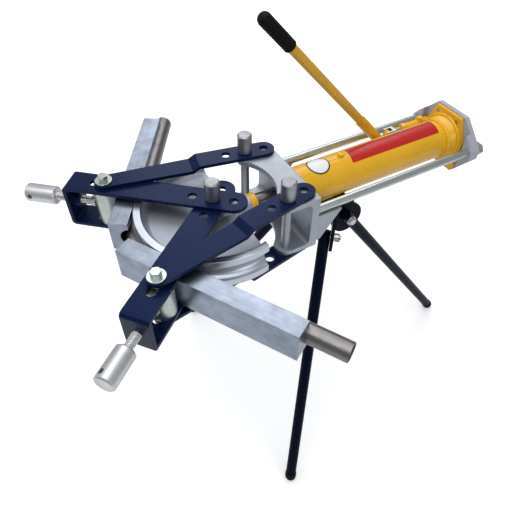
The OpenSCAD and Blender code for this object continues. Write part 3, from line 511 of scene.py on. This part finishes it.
class BENDER_OT_bars(Operator):
    """Milled bars and the tube that they press"""

    bl_idname = "bender.bars"
    bl_label = "Bars and tube"

    def execute(self, context):
        tones = context.scene.bender_colours
        for side in ("near", "far"):
            run = JOINTS[side + "_bar_slide"]["axis"]
            heading = math.atan2(run[1], run[0])
            # Extruded and milled aluminium bar: long fine cutter lines, drawn 2 mm apart so that they show
            milled = bare_metal(
                side + "_milled_aluminium", tones.milled, 0.32, (0.16, 0.002, 0.002), turn=(0, 0, heading), spread=0.3
            )
            finish(milled, side + "_bar")
        # Drawn steel tube: dull, brownish, with faint rings
        finish(bare_metal("drawn_steel_tube", tones.tube, 0.3, (0.02, 0.02, 0.003), spread=0.16), "bent_tube")
        return {"FINISHED"}


class BENDER_OT_links(Operator):
    """Navy enamel on the straps and links"""

    bl_idname = "bender.links"
    bl_label = "Straps and links"

    def execute(self, context):
        # Stoved enamel on flat bar: near black with a blue cast, its edges painted a lighter blue as a painted
        # highlight and wear
        navy = enamel(
            "navy_enamel", context.scene.bender_colours.navy, 0.27, linear("#4A5884"), shine=0.24,
            glint=linear("#8FB0FF"),
        )
        finish(
            navy, "near_strap", "far_strap", "near_top_link", "near_bottom_link", "far_top_link", "far_bottom_link"
        )
        return {"FINISHED"}


class BENDER_OT_fasteners(Operator):
    """Zinc-plated bolts, nuts, washers, rods and rollers, and the ground ram"""

    bl_idname = "bender.fasteners"
    bl_label = "Fasteners and rods"

    def execute(self, context):
        tones = context.scene.bender_colours
        # Bright zinc plate, drawn or turned beneath: pale grey, slightly clouded
        zinc = bare_metal("zinc_plate", tones.zinc, 0.26, (0.004, 0.004, 0.004), spread=0.18, relief=0.0001)
        finish(
            zinc, "near_wing_bolt", "far_wing_bolt", "near_wing_nut", "far_wing_nut", "near_washers", "far_washers",
            "near_spacers", "tie_rod_nuts", "bracket_bolts", "leg_bolts", "leg_wing_nuts", "lever_pin", "drive_pin",
            "flange_bolts",
        )
        finish(bare_metal("drawn_zinc_rod", tones.zinc, 0.28, (0.004, 0.2, 0.004), spread=0.2), "tie_rods", "plunger")
        finish(
            bare_metal("turned_roller_steel", tones.zinc, 0.34, (0.05, 0.05, 0.002), spread=0.2),
            "near_roller", "far_roller",
        )
        # Ground steel in a darker brownish grey, with fine rings across the stroke
        ground = bare_metal("ground_ram_steel", linear("#7F7873"), 0.24, (0.05, 0.003, 0.05), spread=0.12)
        finish(ground, "ram", "piston")
        return {"FINISHED"}


class BENDER_OT_pins(Operator):
    """Turned pins and adjusters, with screw threads"""

    bl_idname = "bender.pins"
    bl_label = "Pins and adjusters"

    def execute(self, context):
        tones, sizes = context.scene.bender_colours, context.scene.bender_sizes
        # Bright mild steel turned in a lathe: rings across the axis, drawn 1.5 mm apart so that they show
        finish(
            bare_metal("turned_pin_steel", tones.steel, 0.46, (0.03, 0.03, 0.0015), spread=0.25),
            "centre_pin", "near_yoke_pin", "far_yoke_pin",
        )
        for side in ("near", "far"):
            joint = JOINTS[side + "_adjuster_turn"]
            out = np.array(joint["axis"])
            knob_face = np.array(joint["pos_m"])
            steel = bare_metal(
                side + "_turned_knob_steel", linear("#D4D5D6"), 0.4, (0.0015, 0.03, 0.03),
                turn=(0, 0, math.atan2(out[1], out[0])), spread=0.2,
            )
            finish(steel, side + "_knob", side + "_pad")
            length = np.linalg.norm(knob_face - CENTRE) - self.screw_start(side, out)
            stations = np.linspace(-length, 0, int(length / sizes.thread_pitch * PITCH_STEPS))
            radii = thread_radii(stations, SCREW_R, sizes.thread_pitch, sizes.thread_depth)
            stations = np.concatenate([-length - np.array([SPIGOT_L, SPIGOT_L, SPIGOT_STEP]), stations])
            spigot = np.repeat([[SPIGOT_START_R], [SPIGOT_R], [SPIGOT_R]], RING, axis=1)
            screw = grid_piece(
                side + "_threaded_screw", turned_points(knob_face, out, stations, np.concatenate([spigot, radii])),
                steel, side + "_adjuster",
            )
            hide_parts(side + "_screw")
        return {"FINISHED"}

    def screw_start(self, side, out):
        """Distance from the centre pin to the shoulder of a screw, behind its pad."""
        low, high = (np.array(corner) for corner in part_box(side + "_pad"))
        return float(np.dot((low + high) / 2 - CENTRE, out)) + PAD_HALF + PAD_GAP


class BENDER_OT_grip(Operator):
    """Ribbed rubber grip on the handle"""

    bl_idname = "bender.grip"
    bl_label = "Handle grip"

    def execute(self, context):
        sizes = context.scene.bender_sizes
        rubber = moulded_rubber("grip_rubber", context.scene.bender_colours.rubber)
        lean, tip = sizes.handle_lean, sizes.handle_length
        along = np.array([0, -math.sin(lean), math.cos(lean)])
        origin = LEVER - sizes.handle_offset * np.array([0, math.cos(lean), math.sin(lean)])
        # Ribs follow a raised cosine, with a rolled cuff below and a domed end above
        run = np.linspace(0, 1, RIB_STEPS * sizes.grip_ribs + 1)
        ribs = GRIP_R + RIB_H * (0.5 - 0.5 * np.cos(2 * np.pi * sizes.grip_ribs * run)) ** 0.6
        foot = tip - sizes.grip_length
        dome = np.linspace(0, np.pi / 2, 9)[1:]
        stations = np.concatenate([
            foot + CUFF[:, 0], foot + CUFF_L + run * (sizes.grip_length - CUFF_L - DOME_L),
            tip - DOME_L + DOME_L * np.sin(dome),
        ])
        radii = np.concatenate([CUFF[:, 1], ribs, np.maximum(DOME_R * np.cos(dome), DOME_TIP_R)])
        grip = grid_piece(
            "ribbed_grip", turned_points(origin, along, stations, radii), rubber, "lever"
        )
        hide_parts("handle_grip")
        return {"FINISHED"}


class BENDER_OT_legs(Operator):
    """Black legs, their bracket and rubber feet"""

    bl_idname = "bender.legs"
    bl_label = "Legs"

    def execute(self, context):
        tones = context.scene.bender_colours
        # Semi-gloss blue-black enamel on steel tube and plate, its edges painted lighter as a painted highlight and
        # wear
        black = enamel(
            "black_enamel", tones.black, 0.33, linear("#2E3240"), shine=0.06, glint=linear("#97ADF5")
        )
        finish(black, "leg_bracket", "near_front_leg", "far_front_leg", "rear_leg")
        finish(moulded_rubber("foot_rubber", tones.rubber), "near_foot", "far_foot", "rear_foot")
        return {"FINISHED"}


class BENDER_OT_stage(Operator):
    """Pale floor, soft light and the camera at the photographed angle"""

    bl_idname = "bender.stage"
    bl_label = "Stage"

    def execute(self, context):
        scene = context.scene
        scene.view_settings.view_transform = "Standard"
        self.floor(scene)
        self.light(scene)
        self.camera(scene)
        return {"FINISHED"}

    def floor(self, scene):
        """A wide flat grid at floor level, matt, nearly white, and lifted to white for the camera farther off."""
        material, tree, place = start("pale_floor")
        shade = blend(tree, noise(tree, place, FLOOR_CLOUD, Detail=2.0), linear("#F3F3F2"), linear("#F6F6F6"))
        matt = add(tree, "ShaderNodeBsdfDiffuse", {"Color": shade})
        seen = add(tree, "ShaderNodeLightPath").outputs["Is Camera Ray"]
        away = add(tree, "ShaderNodeVectorMath", {0: place}, operation="LENGTH").outputs["Value"]
        lift = add(
            tree, "ShaderNodeMath", {0: seen, 1: ramp(tree, away, *FLOOR_FADE, *FLOOR_LIFT)}, operation="MULTIPLY"
        )
        glow = add(tree, "ShaderNodeEmission", {"Color": linear("#FFFFFF"), "Strength": lift.outputs["Value"]})
        both = add(tree, "ShaderNodeAddShader", {0: matt.outputs["BSDF"], 1: glow.outputs["Emission"]})
        add(tree, "ShaderNodeOutputMaterial", {"Surface": both.outputs["Shader"]})
        line = np.linspace(-FLOOR_HALF, FLOOR_HALF, FLOOR_LINES)
        x, y = np.meshgrid(line, line, indexing="ij")
        points = np.stack([x, y, np.zeros_like(x)], axis=-1)
        index = np.arange(FLOOR_LINES ** 2).reshape(FLOOR_LINES, FLOOR_LINES)
        quads = np.stack([index[:-1, :-1], index[1:, :-1], index[1:, 1:], index[:-1, 1:]], axis=-1)
        mesh = bpy.data.meshes.new("floor")
        mesh.from_pydata(points.reshape(-1, 3).tolist(), [], quads.reshape(-1, 4).tolist())
        mesh.materials.append(material)
        floor = bpy.data.objects.new("floor", mesh)
        scene.collection.objects.link(floor)

    def light(self, scene):
        """A dim even sky that looks pale behind the floor, large soft boxes above and beyond, weaker ones in front."""
        world = bpy.data.worlds.new("studio")
        scene.world = world
        world.use_nodes = True
        tree = world.node_tree
        tree.nodes.clear()
        seen = add(tree, "ShaderNodeLightPath").outputs["Is Camera Ray"]
        level = ramp(tree, seen, 0.0, 1.0, *SKY)
        sky = add(tree, "ShaderNodeBackground", {"Color": linear("#E6EAF0"), "Strength": level})
        add(tree, "ShaderNodeOutputWorld", {"Surface": sky.outputs["Background"]})
        for name, (size, power, spot, aim) in BOXES.items():
            lamp = bpy.data.lights.new(name, "AREA")
            lamp.size, lamp.energy = size, power
            holder = bpy.data.objects.new(name, lamp)
            back, side, up = basis(np.subtract(spot, aim))
            holder.matrix_world = Matrix(np.column_stack([side, up, back]).tolist()).to_4x4()
            holder.location = spot
            scene.collection.objects.link(holder)

    def camera(self, scene):
        """The photographed angle: a 35.7 mm lens on a 36 mm sensor, looking down at 46.6 degrees."""
        turn, tilt, roll = np.radians(CAMERA_TURNS)
        ahead = np.array([-math.sin(turn) * math.cos(tilt), math.cos(turn) * math.cos(tilt), -math.sin(tilt)])
        right = np.array([math.cos(turn), math.sin(turn), 0])
        up = np.cross(right, ahead)
        level = math.cos(roll) * right + math.sin(roll) * up
        upright = math.cos(roll) * up - math.sin(roll) * right
        lens = bpy.data.cameras.new("camera")
        lens.lens, lens.sensor_width = LENS, SENSOR
        camera = bpy.data.objects.new("camera", lens)
        camera.matrix_world = Matrix(np.column_stack([level, upright, -ahead]).tolist()).to_4x4()
        camera.location = CAMERA_AT
        scene.collection.objects.link(camera)
        scene.camera = camera


class BENDER_PT_panel(Panel):
    """Lists the machine's finishes and pieces"""

    bl_idname = "BENDER_PT_panel"
    bl_label = "Pipe bender"
    bl_space_type = "VIEW_3D"
    bl_region_type = "UI"
    bl_category = "Pipe bender"

    def draw(self, context):
        for operator in OPERATORS:
            self.layout.operator(operator.bl_idname)
        for group in (context.scene.bender_sizes, context.scene.bender_colours):
            for name in group.__annotations__:
                self.layout.prop(group, name)


OPERATORS = (
    BENDER_OT_stage, BENDER_OT_hydraulics, BENDER_OT_castings, BENDER_OT_bars, BENDER_OT_links,
    BENDER_OT_fasteners, BENDER_OT_pins, BENDER_OT_grip, BENDER_OT_legs,
)
CLASSES = (BenderColours, BenderSizes, *OPERATORS, BENDER_PT_panel)


def register():
    """Adds the classes and the two groups of settings."""
    for item in CLASSES:
        bpy.utils.register_class(item)
    bpy.types.Scene.bender_colours = PointerProperty(type=BenderColours)
    bpy.types.Scene.bender_sizes = PointerProperty(type=BenderSizes)


def unregister():
    """Takes them away again."""
    del bpy.types.Scene.bender_sizes
    del bpy.types.Scene.bender_colours
    for item in reversed(CLASSES):
        bpy.utils.unregister_class(item)


def main():
    """Makes every piece in order."""
    register()
    for operator in OPERATORS:
        group, name = operator.bl_idname.split(".")
        getattr(getattr(bpy.ops, group), name)()


if __name__ == "__main__":
    main()
